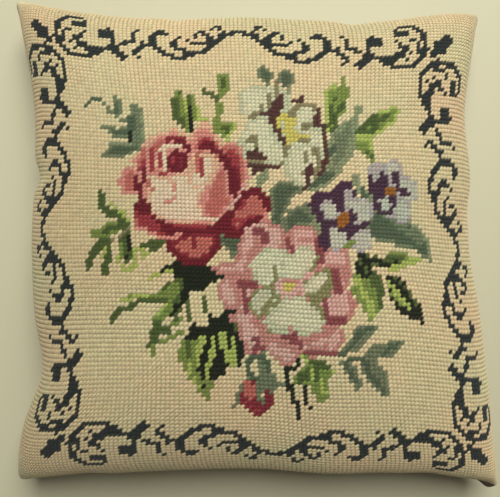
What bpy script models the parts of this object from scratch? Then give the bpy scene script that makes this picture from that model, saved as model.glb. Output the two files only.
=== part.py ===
"""Square cushion with a stitched canvas front, lying on its back.

Metres, +Z up. X runs along the lower side and Y up the front's design.
The origin is the middle of the flat spot that the cushion rests on.
"""

import bmesh
import bpy
import numpy as np

# Heights, and the thickness of the stitched canvas
CROWN_HEIGHT = 0.085
WIDE_HEIGHT = 0.043
SEAM_HEIGHT = 0.033
PANEL_THICKNESS = 0.002
GAP = 0.0003

# The front's mid sections: flattened arches whose tops lie a little off the middle
ARCH_POWER = 2.2
HALF_WIDTH = 0.145
HALF_LENGTH = 0.150
TOP_SHIFT_ACROSS = 0.13
TOP_SHIFT_ALONG = 0.20
SEAM_TUCK = 0.0035
CORNER_FULLNESS = 2.0
EVEN_BY_THE_SEAM = 4
SAMPLES_OVER = 801
SAMPLES_UNDER = 40
NO_RISE = 1e-6

# Where each corner would reach in plan, how high its seam lies, and the share that rounds off its tip
CORNERS = {
    "bottom_left": (-0.172, -0.178, 0.026, 0.105),
    "bottom_right": (0.183, -0.177, 0.030, 0.085),
    "top_left": (-0.180, 0.187, 0.030, 0.080),
    "top_right": (0.175, 0.177, 0.028, 0.085),
}
SEAM_LEVELS_AT = 0.85
CORNER_SHARPNESS = 9

# How far each side is drawn in from the straight line between its corners,
# at nine even places from its left or lower end to the other, in millimetres
DRAWN_IN = {
    "left": (0, 18, 29.5, 31.5, 31, 33, 31.5, 19.5, 0),
    "right": (0, 17, 24, 29, 34.5, 31.5, 32, 20, 0),
    "bottom": (0, 19, 26.5, 30, 31, 27.5, 26.5, 18.5, 0),
    "top": (0, 20, 29.5, 31, 29, 29.5, 27.5, 16, 0),
}

# Small pulls where the seam gathers the cloth: side, place, width, depth
TUCKS = (
    ("left", -0.47, 0.14, 0.0070),
    ("left", 0.22, 0.05, 0.0040),
    ("right", 0.13, 0.06, 0.0015),
    ("top", -0.27, 0.04, 0.0012),
    ("top", 0.40, 0.06, 0.0020),
    ("bottom", 0.63, 0.07, 0.0015),
    ("bottom", -0.62, 0.06, 0.0012),
)
TUCK_REACH = 9

# Soft lumps of the filling: place, radius and height
LUMPS = (
    (-0.35, 0.30, 0.35, 0.0013),
    (0.40, 0.25, 0.30, -0.0012),
    (0.30, -0.42, 0.32, 0.0015),
    (-0.45, -0.35, 0.30, -0.0010),
    (0.02, 0.62, 0.28, 0.0008),
)

# The flat spot underneath, as a share of the half width
FLAT_SHARE = 0.70

# The grid of each layer, drawn closer together towards the sides
STEPS = 36
SIDE_GRADING = 1.25

# Colours and roughness of the two cloths
BEIGE_WOOL = (0.60, 0.45, 0.27)
WOOL_ROUGHNESS = 0.9
BROWN_CLOTH = (0.20, 0.13, 0.07)
CLOTH_ROUGHNESS = 0.85


def mid_section(half_span, shift):
    """Share of the length, place and height share along a mid section, from seam to seam."""
    turn = np.linspace(-np.pi / 2, np.pi / 2, SAMPLES_OVER)
    even = np.sign(turn) * np.abs(np.sin(turn)) ** (2 / ARCH_POWER)
    place = (1 - np.sqrt(1 - 4 * shift * (even - shift))) / (2 * shift)
    out = place * half_span
    rise = np.cos(turn) * (CROWN_HEIGHT - WIDE_HEIGHT)
    under = np.linspace(0, 1, SAMPLES_UNDER)[1:]
    tucked = half_span - SEAM_TUCK * under**2
    sunk = (SEAM_HEIGHT - WIDE_HEIGHT) * under
    out = np.concatenate([-tucked[::-1], out, tucked])
    rise = np.concatenate([sunk[::-1], rise, sunk])
    length = np.append(0, np.cumsum(np.hypot(np.diff(out), np.diff(rise))))
    return 2 * length / length[-1] - 1, out / half_span, (rise - rise[0]) / (rise.max() - rise[0])


ACROSS = mid_section(HALF_WIDTH, TOP_SHIFT_ACROSS)
ALONG = mid_section(HALF_LENGTH, TOP_SHIFT_ALONG)


def smooth_through(values, place):
    """A smooth curve through evenly spaced values, read at a place from -1 to 1."""
    values = np.asarray(values, float)
    at = (np.clip(place, -1, 1) + 1) / 2 * (len(values) - 1)
    first = np.minimum(at.astype(int), len(values) - 2)
    f = at - first
    ends = [2 * values[0] - values[1]], [2 * values[-1] - values[-2]]
    padded = np.concatenate([ends[0], values, ends[1]])
    a, b, c, d = (padded[first + k] for k in range(4))
    return b + f * (c - a) / 2 + f**2 * (a - 2.5 * b + 2 * c - d / 2) + f**3 * (1.5 * (b - c) + (d - a) / 2)


def corner_blend(x, y, column):
    """One column of the corner table, spread evenly between the four corners."""
    low = CORNERS["bottom_left"][column] * (1 - x) + CORNERS["bottom_right"][column] * (1 + x)
    high = CORNERS["top_left"][column] * (1 - x) + CORNERS["top_right"][column] * (1 + x)
    return (low * (1 - y) + high * (1 + y)) / 4


def pulled_in(side, along, out):
    """How far the cloth near one side is moved inward."""
    toward = np.clip(out, 0, None)
    depth = smooth_through(DRAWN_IN[side], along) / 1000 * toward
    for name, place, width, deep in TUCKS:
        if name == side:
            depth = depth + deep * np.exp(-(((along - place) / width) ** 2)) * toward**TUCK_REACH
    return depth


def in_plan(x, y, inset):
    """Plan position of a point at x, y shares of the way out to the sides."""
    across = corner_blend(x, y, 0)
    along = corner_blend(x, y, 1)
    across = across + pulled_in("left", y, -x) - pulled_in("right", y, x)
    along = along + pulled_in("bottom", x, -y) - pulled_in("top", x, y)
    blunt = 1 - corner_blend(np.sign(x), np.sign(y), 3) * np.abs(x * y) ** CORNER_SHARPNESS
    return across * blunt - inset * x, along * blunt - inset * y


def dome(rise_x, rise_y):
    """The height share where two arches cross, fuller than their product."""
    k = CORNER_FULLNESS
    a = np.maximum(rise_x, NO_RISE)
    b = np.maximum(rise_y, NO_RISE)
    return (a**-k + b**-k - 1) ** (-1 / k)


def seam_height(x, y):
    """Height of the seam under a point, which goes to the corner's own height near each tip."""
    corner = corner_blend(np.sign(x), np.sign(y), 2)
    near = np.clip(np.abs(x * y) / SEAM_LEVELS_AT, 0, 1)
    return SEAM_HEIGHT + (corner - SEAM_HEIGHT) * near**2 * (3 - 2 * near)


def lumps(x, y):
    """How much the filling pushes the front up or lets it sink."""
    total = 0
    for middle_x, middle_y, radius, height in LUMPS:
        total = total + height * np.exp(-((x - middle_x) ** 2 + (y - middle_y) ** 2) / radius**2)
    return total


def outward(share, across, section):
    """Share of the way out for a share of the cloth, arched in the middle and even along the seam."""
    arched = np.interp(share, section[0], section[1])
    even = share * section[1][-1]
    mix = np.abs(across) ** EVEN_BY_THE_SEAM
    return arched * (1 - mix) + even * mix


def front_point(u, v, inset=0.0, below=0.0, drop=0.0):
    """A point of the front, where u and v run from -1 to 1 along the canvas threads."""
    x = outward(u, v, ACROSS)
    y = outward(v, u, ALONG)
    rise_x = np.interp(u, ACROSS[0], ACROSS[2])
    rise_y = np.interp(v, ALONG[0], ALONG[2])
    foot = seam_height(u, v) - drop
    crown = CROWN_HEIGHT + lumps(x, y) - below
    return np.stack([*in_plan(x, y, inset), foot + (crown - foot) * dome(rise_x, rise_y)], -1)


def back_point(u, v):
    """A point of the underside, flat in the middle and turned up to the seam."""
    x = u * ACROSS[1][-1]
    y = v * ALONG[1][-1]
    turned_x = np.clip((np.abs(u) - FLAT_SHARE) / (1 - FLAT_SHARE), 0, 1)
    turned_y = np.clip((np.abs(v) - FLAT_SHARE) / (1 - FLAT_SHARE), 0, 1)
    level = dome(np.sqrt(1 - turned_x**2), np.sqrt(1 - turned_y**2))
    foot = seam_height(u, v) - GAP
    return np.stack([*in_plan(x, y, 0), foot * (1 - level)], -1)


def stations():
    """Grid places from -1 to 1, closer together towards the sides."""
    even = np.linspace(-1, 1, STEPS + 1)
    return np.sign(even) * (1 - (1 - np.abs(even)) ** SIDE_GRADING)


def add_grid(bm, surface):
    """Adds a surface's grid of points, and returns its rows."""
    places = stations()
    u, v = np.meshgrid(places, places)
    points = surface(u, v)
    return [[bm.verts.new(p) for p in row] for row in points]


def fill_grid(bm, rows, facing_up):
    """Fills a grid with triangles, cut alike in every layer so that the layers stay parallel."""
    for j, (low, high) in enumerate(zip(rows, rows[1:])):
        for i, (a, b, c, d) in enumerate(zip(low, low[1:], high[1:], high)):
            rising = (i < STEPS / 2) == (j < STEPS / 2)
            halves = ((a, b, c), (a, c, d)) if rising else ((a, b, d), (b, c, d))
            for half in halves:
                bm.faces.new(half if facing_up else half[::-1])


def rim_of(rows):
    """The grid's border points, anticlockwise from the lower left."""
    bottom = rows[0][:-1]
    right = [row[-1] for row in rows[:-1]]
    top = rows[-1][:0:-1]
    left = [row[0] for row in rows[:0:-1]]
    return bottom + right + top + left


def join_rims(bm, lower, upper):
    """A band of faces between two rims, facing away from the middle or down."""
    for i in range(len(lower)):
        bm.faces.new((lower[i - 1], lower[i], upper[i]))
        bm.faces.new((lower[i - 1], upper[i], upper[i - 1]))


def add_object(name, bm, colour, roughness):
    """Turns a finished mesh into a named object with its own material."""
    mesh = bpy.data.meshes.new(name)
    bm.normal_update()
    bm.to_mesh(mesh)
    bm.free()
    mesh.shade_smooth()
    material = bpy.data.materials.new(name)
    material.use_nodes = True
    shader = material.node_tree.nodes["Principled BSDF"]
    shader.inputs["Base Color"].default_value = (*colour, 1)
    shader.inputs["Roughness"].default_value = roughness
    shader.inputs["Metallic"].default_value = 0
    mesh.materials.append(material)
    obj = bpy.data.objects.new(name, mesh)
    bpy.context.scene.collection.objects.link(obj)
    return obj


def make_panel():
    """The stitched canvas: an even sheet over the filling, open at the seam."""
    bm = bmesh.new()
    outer = add_grid(bm, front_point)
    inner = add_grid(bm, lambda u, v: front_point(u, v, PANEL_THICKNESS, PANEL_THICKNESS))
    fill_grid(bm, outer, facing_up=True)
    fill_grid(bm, inner, facing_up=False)
    join_rims(bm, rim_of(inner), rim_of(outer))
    return add_object("needlepoint_panel", bm, BEIGE_WOOL, WOOL_ROUGHNESS)


def make_filled_back():
    """The back cloth and its filling: crowned under the panel, flat where it rests."""
    bm = bmesh.new()
    beside = PANEL_THICKNESS + 2 * GAP
    below = PANEL_THICKNESS + GAP
    crown = add_grid(bm, lambda u, v: front_point(u, v, beside, below, GAP))
    base = add_grid(bm, back_point)
    fill_grid(bm, crown, facing_up=True)
    fill_grid(bm, base, facing_up=False)
    join_rims(bm, rim_of(base), rim_of(crown))
    return add_object("filled_back", bm, BROWN_CLOTH, CLOTH_ROUGHNESS)


for old in list(bpy.data.objects):
    bpy.data.objects.remove(old)

make_panel()
make_filled_back()
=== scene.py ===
"""Looks of the needlepoint cushion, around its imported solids.

Metres, in the cushion's own frame: +Z up out of the stitched front, +Y towards the top of its design.
"""

import math

import bpy
import numpy as np
from mathutils.kdtree import KDTree
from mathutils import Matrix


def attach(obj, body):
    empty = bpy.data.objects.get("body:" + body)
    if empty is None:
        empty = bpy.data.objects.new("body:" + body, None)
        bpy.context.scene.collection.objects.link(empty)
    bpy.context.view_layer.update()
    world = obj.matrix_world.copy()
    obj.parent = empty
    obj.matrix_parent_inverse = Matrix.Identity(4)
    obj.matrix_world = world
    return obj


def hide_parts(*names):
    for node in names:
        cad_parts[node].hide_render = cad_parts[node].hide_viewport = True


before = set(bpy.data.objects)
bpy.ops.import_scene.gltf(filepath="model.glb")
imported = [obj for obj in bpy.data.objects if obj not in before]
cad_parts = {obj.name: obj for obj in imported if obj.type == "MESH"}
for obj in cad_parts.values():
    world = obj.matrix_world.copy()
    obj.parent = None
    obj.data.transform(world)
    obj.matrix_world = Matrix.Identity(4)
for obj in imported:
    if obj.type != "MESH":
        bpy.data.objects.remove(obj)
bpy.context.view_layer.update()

# Heights and plan of the front, in metres. The part's source has nearly the same values, but its corners
# aren't rounded, its bottom right tip doesn't droop and its left side is a little less drawn in
CROWN_HEIGHT = 0.085
WIDE_HEIGHT = 0.043
SEAM_HEIGHT = 0.033
PANEL_THICKNESS = 0.002
GAP = 0.0003
ARCH_POWER = 2.2
HALF_WIDTH = 0.145
HALF_LENGTH = 0.150
TOP_SHIFT_ACROSS = 0.13
TOP_SHIFT_ALONG = 0.20
SEAM_TUCK = 0.0035
CORNER_FULLNESS = 2.0
EVEN_BY_THE_SEAM = 4
SAMPLES_OVER = 801
SAMPLES_UNDER = 40
NO_RISE = 1e-6
# Each corner: its reach across and along, the height of its tip, how blunt it is and its rounding radius
CORNERS = {
    "bottom_left": (-0.176, -0.178, 0.026, 0.086, 0.095),
    "bottom_right": (0.183, -0.177, 0.030, 0.076, 0.035),
    "top_left": (-0.180, 0.187, 0.030, 0.072, 0.055),
    "top_right": (0.175, 0.177, 0.028, 0.074, 0.055),
}
# The bottom right tip droops towards the bottom edge
TIP_REACH = 0.07
TIP_DROP = 0.003
SEAM_LEVELS_AT = 0.85
CORNER_SHARPNESS = 9
# How far each side is drawn in, in millimetres, at nine even places from corner to corner
DRAWN_IN = {
    "left": (0, 18, 31.5, 33.5, 33, 34.5, 32.5, 20, 0),
    "right": (0, 17, 24, 29, 34.5, 31.5, 32, 20, 0),
    "bottom": (0, 19, 26.5, 30, 31, 27.5, 26.5, 18.5, 0),
    "top": (0, 20, 29.5, 31, 29, 29.5, 27.5, 16, 0),
}
# Small tucks: the side, the place along it, the width and the depth
TUCKS = (
    ("left", -0.47, 0.14, 0.0070),
    ("left", 0.22, 0.05, 0.0040),
    ("right", 0.13, 0.06, 0.0015),
    ("top", -0.27, 0.04, 0.0012),
    ("top", 0.40, 0.06, 0.0020),
    ("bottom", 0.63, 0.07, 0.0015),
    ("bottom", -0.62, 0.06, 0.0012),
)
TUCK_REACH = 9
# Lumps of filling: the place, the radius and the height
LUMPS = (
    (-0.35, 0.30, 0.35, 0.0013),
    (0.40, 0.25, 0.30, -0.0012),
    (0.30, -0.42, 0.32, 0.0015),
    (-0.45, -0.35, 0.30, -0.0010),
    (0.02, 0.62, 0.28, 0.0008),
)
FLAT_SHARE = 0.70

# Where the picture is taken from: straight above, tilted a little towards the top
EYE = np.array([-0.00066, -0.01500, 0.3897])
TILT = math.radians(1.995)
PICTURE_WIDTH = 500
PICTURE_MIDDLE = (250, 248.5)
REACH_IN_PICTURE = 520
SENSOR = 36

# The canvas: stitches from seam to seam, and spare ones charted past each seam
STITCHES = 136
MIDDLE = STITCHES / 2
SPARE = 9
CHARTED = STITCHES + 2 * SPARE
EDGE_OF_CLOTH = 0.999

# How far the worked canvas lies askew: shares of the way across and down, and stitches off the middle
ACROSS_PER_COLUMN, ACROSS_PER_ROW, ACROSS_SHIFT = 1.003, 0.0464, 0.65
DOWN_PER_ROW, DOWN_PER_COLUMN, DOWN_SHIFT = 0.9956, 0.0222, -0.4

# How many stitches the border has slipped along each side, across and down, at seven even places
SLIP_REACH = 51
SLIPS = {
    "top": ((0.3, 0.0, 0.4, 0.0, 0.1, 1.0, 0.5), (0.5, 0.3, -0.2, 0.0, -0.3, -0.6, -0.1)),
    "bottom": ((0.8, 0.8, 1.9, 1.3, 0.6, 0.7, 0.3), (0.0, -1.0, -0.9, -1.2, -0.8, -0.3, 0.5)),
    "left": ((0.3, 0.0, 0.3, 0.2, 0.7, 1.5, 0.8), (0.5, 0.1, 0.1, -0.7, -1.3, -0.4, 0.0)),
    "right": ((0.5, 0.5, 0.0, 0.0, 0.4, 0.2, 0.3), (-0.1, 0.1, 0.7, 0.0, 0.0, 0.6, 0.5)),
}
BOTTOM_SQUEEZE = 0.6
BOTTOM_SQUEEZE_FROM = 117
BOTTOM_SQUEEZE_OVER = 6
CANVAS_DEPTH = 0.0007
CANVAS_THICKNESS = 0.0005
CANVAS_POINTS = 185
YARN_DEPTH = 0.0004

# Each stitch: its size in pitches of the canvas, its height in metres, its slant and how much they vary
STITCH_SIZE = {"Length": 1.06, "Width": 1.08, "Thickness": 0.0008}
STITCH_SEGMENTS = 6
STITCH_RINGS = 4
SLOPE = 0.93
SLOPE_SPREAD = 0.06
SIZE_SPREAD = 0.03
WOBBLE = 0.04
CELL_FILLED = 0.94

# The back: its puckers near the seam, and the fold of brown cloth that shows under the bottom right tip
BACK_POINTS = 141
PUCKER_HEIGHT = 0.0009
PUCKERS_FROM, PUCKERS_OVER, PUCKERS_FADE = 0.72, 0.24, 0.02
PUCKER_WAVES = ((1.0, 47, 2, 5), (0.6, 83, 3, 7))
PUCKER_LEVEL = 1.2
FOLD_DEPTH = 0.0030
FOLD_PLACE, FOLD_WIDTH = 0.93, 0.035
FOLD_FROM, FOLD_OVER = 0.90, 0.08


def mid_section(half_span, shift):
    """Share of the length, place and height share along a mid section, from seam to seam."""
    turn = np.linspace(-np.pi / 2, np.pi / 2, SAMPLES_OVER)
    even = np.sign(turn) * np.abs(np.sin(turn)) ** (2 / ARCH_POWER)
    place = (1 - np.sqrt(1 - 4 * shift * (even - shift))) / (2 * shift)
    out = place * half_span
    rise = np.cos(turn) * (CROWN_HEIGHT - WIDE_HEIGHT)
    under = np.linspace(0, 1, SAMPLES_UNDER)[1:]
    tucked = half_span - SEAM_TUCK * under**2
    sunk = (SEAM_HEIGHT - WIDE_HEIGHT) * under
    out = np.concatenate([-tucked[::-1], out, tucked])
    rise = np.concatenate([sunk[::-1], rise, sunk])
    length = np.append(0, np.cumsum(np.hypot(np.diff(out), np.diff(rise))))
    return 2 * length / length[-1] - 1, out / half_span, (rise - rise[0]) / (rise.max() - rise[0])


ACROSS = mid_section(HALF_WIDTH, TOP_SHIFT_ACROSS)
ALONG = mid_section(HALF_LENGTH, TOP_SHIFT_ALONG)


def smooth_through(values, place):
    """A smooth curve through evenly spaced values, read at a place from -1 to 1."""
    values = np.asarray(values, float)
    at = (np.clip(place, -1, 1) + 1) / 2 * (len(values) - 1)
    first = np.minimum(at.astype(int), len(values) - 2)
    f = at - first
    ends = [2 * values[0] - values[1]], [2 * values[-1] - values[-2]]
    padded = np.concatenate([ends[0], values, ends[1]])
    a, b, c, d = (padded[first + k] for k in range(4))
    return b + f * (c - a) / 2 + f**2 * (a - 2.5 * b + 2 * c - d / 2) + f**3 * (1.5 * (b - c) + (d - a) / 2)


def corner_blend(x, y, column):
    """One column of the corner table, spread evenly between the four corners."""
    low = CORNERS["bottom_left"][column] * (1 - x) + CORNERS["bottom_right"][column] * (1 + x)
    high = CORNERS["top_left"][column] * (1 - x) + CORNERS["top_right"][column] * (1 + x)
    return (low * (1 - y) + high * (1 + y)) / 4


def pulled_in(side, along, out):
    """How far the cloth near one side is moved inward."""
    toward = np.clip(out, 0, None)
    depth = smooth_through(DRAWN_IN[side], along) / 1000 * toward
    for name, place, width, deep in TUCKS:
        if name == side:
            depth = depth + deep * np.exp(-(((along - place) / width) ** 2)) * toward**TUCK_REACH
    return depth


def rounded(x, y):
    """Shares of the way out, with each corner turned over its own small radius."""
    radius = corner_blend(np.sign(x), np.sign(y), 4)
    a = np.clip((np.abs(x) - 1 + radius) / radius, 0, 1)
    b = np.clip((np.abs(y) - 1 + radius) / radius, 0, 1)
    shorter_x = radius * a * (1 - np.sqrt(1 - b * b / 2))
    shorter_y = radius * b * (1 - np.sqrt(1 - a * a / 2))
    return x - np.sign(x) * shorter_x, y - np.sign(y) * shorter_y


def in_plan(x, y, inset):
    """Plan position of a point at x, y shares of the way out to the sides."""
    tip = np.exp(-((x - 1) ** 2 + (y + 1) ** 2) / TIP_REACH**2)
    across = corner_blend(x, y, 0)
    along = corner_blend(x, y, 1)
    across = across + pulled_in("left", y, -x) - pulled_in("right", y, x)
    along = along + pulled_in("bottom", x, -y) - pulled_in("top", x, y)
    blunt = 1 - corner_blend(np.sign(x), np.sign(y), 3) * np.abs(x * y) ** CORNER_SHARPNESS
    return across * blunt - inset * x, along * blunt - inset * y - TIP_DROP * tip


def dome(rise_x, rise_y):
    """The height share where two arches cross, fuller than their product."""
    k = CORNER_FULLNESS
    a = np.maximum(rise_x, NO_RISE)
    b = np.maximum(rise_y, NO_RISE)
    return (a**-k + b**-k - 1) ** (-1 / k)


def seam_height(x, y):
    """Height of the seam under a point, which goes to the corner's own height near each tip."""
    corner = corner_blend(np.sign(x), np.sign(y), 2)
    near = np.clip(np.abs(x * y) / SEAM_LEVELS_AT, 0, 1)
    return SEAM_HEIGHT + (corner - SEAM_HEIGHT) * near**2 * (3 - 2 * near)


def lumps(x, y):
    """How much the filling pushes the front up or lets it sink."""
    total = 0
    for middle_x, middle_y, radius, height in LUMPS:
        total = total + height * np.exp(-((x - middle_x) ** 2 + (y - middle_y) ** 2) / radius**2)
    return total


def outward(share, across, section):
    """Share of the way out for a share of the cloth, arched in the middle and even along the seam."""
    arched = np.interp(share, section[0], section[1])
    even = share * section[1][-1]
    mix = np.abs(across) ** EVEN_BY_THE_SEAM
    return arched * (1 - mix) + even * mix


def front_point(u, v, inset=0.0, below=0.0, drop=0.0):
    """A point of the front, where u and v run from -1 to 1 along the canvas threads."""
    turned = rounded(u, v)
    x = outward(turned[0], turned[1], ACROSS)
    y = outward(turned[1], turned[0], ALONG)
    rise_x = np.interp(u, ACROSS[0], ACROSS[2])
    rise_y = np.interp(v, ALONG[0], ALONG[2])
    foot = seam_height(u, v) - drop
    crown = CROWN_HEIGHT + lumps(x, y) - below
    return np.stack([*in_plan(x, y, inset), foot + (crown - foot) * dome(rise_x, rise_y)], -1)


def back_point(u, v):
    """A point of the underside, flat in the middle and turned up to the seam."""
    x, y = rounded(u, v)
    x, y = x * ACROSS[1][-1], y * ALONG[1][-1]
    turned_x = np.clip((np.abs(u) - FLAT_SHARE) / (1 - FLAT_SHARE), 0, 1)
    turned_y = np.clip((np.abs(v) - FLAT_SHARE) / (1 - FLAT_SHARE), 0, 1)
    level = dome(np.sqrt(1 - turned_x**2), np.sqrt(1 - turned_y**2))
    foot = seam_height(u, v) - GAP
    return np.stack([*in_plan(x, y, 0), foot * (1 - level)], -1)


def unit(vectors):
    """The same directions, one long."""
    return vectors / np.maximum(np.linalg.norm(vectors, axis=-1, keepdims=True), NO_RISE)


def slip(col, row, way):
    """How many stitches a place on the chart sits off its even place, blended in from the four sides."""
    x = np.clip((col - MIDDLE) / SLIP_REACH, -1, 1)
    y = np.clip((row - MIDDLE) / SLIP_REACH, -1, 1)
    right, down = (x + 1) / 2, (y + 1) / 2
    top, bottom = (smooth_through(SLIPS[side][way], x) for side in ("top", "bottom"))
    left, far = (smooth_through(SLIPS[side][way], y) for side in ("left", "right"))
    ends = [SLIPS[side][way][end] for side in ("top", "bottom") for end in (0, -1)]
    upper = (1 - right) * ends[0] + right * ends[1]
    lower = (1 - right) * ends[2] + right * ends[3]
    corners = (1 - down) * upper + down * lower
    return (1 - down) * top + down * bottom + (1 - right) * left + right * far - corners


def on_front(col, row):
    """Where a place on the chart lies on the front, with the worked canvas a little askew."""
    squeeze = np.clip((row - BOTTOM_SQUEEZE_FROM) / BOTTOM_SQUEEZE_OVER, 0, 1)
    x = col + slip(col, row, 0) - MIDDLE
    y = row + slip(col, row, 1) - BOTTOM_SQUEEZE * squeeze - MIDDLE
    across = x * ACROSS_PER_COLUMN + y * ACROSS_PER_ROW + ACROSS_SHIFT
    down = y * DOWN_PER_ROW + x * DOWN_PER_COLUMN + DOWN_SHIFT
    return across / MIDDLE, -down / MIDDLE


def as_seen(points):
    """Where points show in the picture, counted from its top left."""
    away = points - EYE
    right = away[..., 0]
    up = away[..., 1] * math.cos(TILT) + away[..., 2] * math.sin(TILT)
    depth = away[..., 1] * math.sin(TILT) - away[..., 2] * math.cos(TILT)
    return (
        PICTURE_MIDDLE[0] + REACH_IN_PICTURE * right / depth,
        PICTURE_MIDDLE[1] - REACH_IN_PICTURE * up / depth,
    )


# The chart: one yarn and one motif for each stitch, rows counted from the top
PLACES = np.arange(-SPARE, STITCHES + SPARE) + 0.5
COL, ROW = np.meshgrid(PLACES, PLACES)
AT_U, AT_V = on_front(COL, ROW)
ON_CLOTH = (np.abs(AT_U) < EDGE_OF_CLOTH) & (np.abs(AT_V) < EDGE_OF_CLOTH)
PICTURE = as_seen(front_point(np.clip(AT_U, -1, 1), np.clip(AT_V, -1, 1)))
FROM_SIDE_X = MIDDLE - np.abs(COL - MIDDLE)
FROM_SIDE_Y = MIDDLE - np.abs(ROW - MIDDLE)
BORDER = np.maximum(FROM_SIDE_X, FROM_SIDE_Y), np.minimum(FROM_SIDE_X, FROM_SIDE_Y)
BORDER_FINENESS = 0.87

YARNS = {
    "ground": (229, 211, 164),
    "charcoal": (46, 52, 48),
    "cream": (238, 212, 178),
    "peach": (232, 184, 150),
    "pink": (222, 148, 132),
    "coral": (196, 112, 98),
    "red": (162, 62, 66),
    "crimson": (136, 46, 54),
    "maroon": (114, 34, 43),
    "ivory": (222, 216, 178),
    "pale_green": (200, 200, 162),
    "olive": (142, 140, 92),
    "taupe": (140, 132, 96),
    "plum_brown": (88, 56, 50),
    "yellow": (212, 196, 100),
    "rose_pale": (222, 176, 160),
    "rose_mid": (200, 138, 124),
    "rose_deep": (142, 76, 76),
    "violet": (76, 50, 66),
    "grey_lilac": (182, 172, 164),
    "pearl": (198, 196, 174),
    "orange": (156, 98, 40),
    "lime": (176, 190, 98),
    "leaf": (128, 146, 72),
    "forest": (84, 100, 52),
    "night_green": (32, 38, 22),
    "sage": (142, 150, 112),
    "teal": (118, 128, 96),
    "deep_teal": (87, 101, 76),
}
NAMES = list(YARNS)
MOTIFS = ["ground", "border", "leaves", "rose", "wild_rose", "white_flower", "violets"]
yarn = np.full(COL.shape, NAMES.index("ground"))
motif = np.full(COL.shape, MOTIFS.index("ground"))
in_hand = "ground"


def curve(points, closed=False, steps=8):
    """A smooth curve through a few points."""
    p = np.array(points, float)
    if closed:
        p = np.concatenate([p[-1:], p, p[:2]])
    else:
        p = np.concatenate([2 * p[:1] - p[1:2], p, 2 * p[-1:] - p[-2:-1]])
    f = np.linspace(0, 1, steps, endpoint=False)[:, None]
    out = []
    for a, b, c, d in zip(p, p[1:], p[2:], p[3:]):
        bent = (a - 2.5 * b + 2 * c - d / 2) * f**2 + (1.5 * (b - c) + (d - a) / 2) * f**3
        out.append(b + (c - a) / 2 * f + bent)
    if not closed:
        out.append(p[-2:-1])
    return np.concatenate(out)


def inside(plane, outline):
    """Which stitches lie inside a closed outline."""
    x, y = plane
    hit = np.zeros(x.shape, bool)
    for (ax, ay), (bx, by) in zip(outline, np.roll(outline, -1, axis=0)):
        if ay == by:
            continue
        between = (ay > y) != (by > y)
        hit ^= between & (x < (bx - ax) * (y - ay) / (by - ay) + ax)
    return hit


def away_from(plane, line, closed=False):
    """How far each stitch lies from a line."""
    x, y = plane
    best = np.full(x.shape, np.inf)
    ends = np.roll(line, -1, axis=0) if closed else line[1:]
    for (ax, ay), (bx, by) in zip(line, ends):
        dx, dy = bx - ax, by - ay
        t = np.clip(((x - ax) * dx + (y - ay) * dy) / max(dx * dx + dy * dy, NO_RISE), 0, 1)
        best = np.minimum(best, np.hypot(x - ax - t * dx, y - ay - t * dy))
    return best


def begin(part):
    """From here on, the stitches worked belong to this motif."""
    global in_hand
    in_hand = part


def work(colour, where):
    """Works the chosen stitches in one yarn."""
    yarn[where] = NAMES.index(colour)
    motif[where] = MOTIFS.index(in_hand)


def petal(points, colour, *bands, plane=PICTURE):
    """A filled shape with a smooth outline, then how far in each band of yarn starts and its colour."""
    outline = curve(points, closed=True)
    hit = inside(plane, outline)
    work(colour, hit)
    if bands:
        depth = away_from(plane, outline, closed=True)
        for inset, shade in zip(bands[::2], bands[1::2]):
            work(shade, hit & (depth >= inset))


def line(colour, width, *points, plane=PICTURE):
    """A line of stitches along a smooth curve."""
    work(colour, away_from(plane, curve(points)) <= width / 2)


def spot(colour, x, y, across, up=None, plane=PICTURE):
    """An oval of stitches."""
    up = up or across
    work(colour, np.hypot((plane[0] - x) / across, (plane[1] - y) / up) <= 1)


def scroll(width, *points):
    """A line of the border, placed in stitches from the two nearest sides."""
    line("charcoal", width * BORDER_FINENESS, *points, plane=BORDER)


def bead(x, y, across, up=None):
    """A small oval of the border."""
    spot("charcoal", x, y, across, up, plane=BORDER)


# The scroll border, charted for half a side and turned and mirrored onto all four
begin("border")
petal([(14.4, 14.6), (16.6, 14.2), (18.2, 15.4), (19.8, 16.2), (20.3, 18.2), (20.4, 20.4), (18.2, 20.3),
      (16.2, 19.8), (15.4, 18.2), (14.2, 16.6)], "charcoal", plane=BORDER)
scroll(1.0, (22.0, 17.6), (21.2, 19.0), (20.4, 20.4))
scroll(2.0, (22.7, 15.4), (22.4, 17.0), (22.7, 18.8), (23.6, 20.8), (24.8, 22.2))
scroll(1.5, (24.8, 22.4), (26.4, 23.3), (28.6, 23.5), (30.8, 23.3), (32.6, 22.6))
scroll(1.6, (22.7, 15.6), (23.0, 14.0), (23.9, 12.4))
scroll(1.3, (23.9, 12.4), (25.1, 11.1), (26.9, 10.3), (28.7, 10.2), (30.1, 11.0), (30.6, 12.4))
bead(28.8, 12.9, 2.1, 1.4)
scroll(1.1, (26.5, 15.2), (25.1, 16.2), (24.5, 17.6), (24.2, 19.6))
scroll(1.0, (27.3, 17.8), (26.8, 19.3))
scroll(1.2, (30.6, 15.6), (29.3, 16.8), (28.9, 18.2), (29.4, 19.6))
scroll(1.8, (29.2, 19.4), (30.4, 20.0), (29.4, 20.6))
scroll(1.0, (28.2, 20.0), (27.8, 21.4))
scroll(2.0, (29.8, 20.5), (32.0, 21.2), (34.4, 21.3))
scroll(2.0, (31.8, 22.2), (33.6, 21.8))
scroll(1.3, (34.0, 21.4), (36.0, 20.6), (37.4, 19.2), (37.9, 17.4), (37.6, 15.6))
bead(35.5, 15.3, 2.0, 1.5)
bead(36.4, 14.3, 1.2, 0.9)
scroll(2.4, (37.4, 19.6), (38.3, 21.0), (39.2, 22.4))
bead(39.6, 22.9, 1.1, 0.8)
scroll(1.4, (38.4, 19.6), (40.0, 18.2), (42.0, 17.3))
scroll(1.1, (42.0, 17.3), (43.6, 17.0), (44.8, 17.7))
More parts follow.
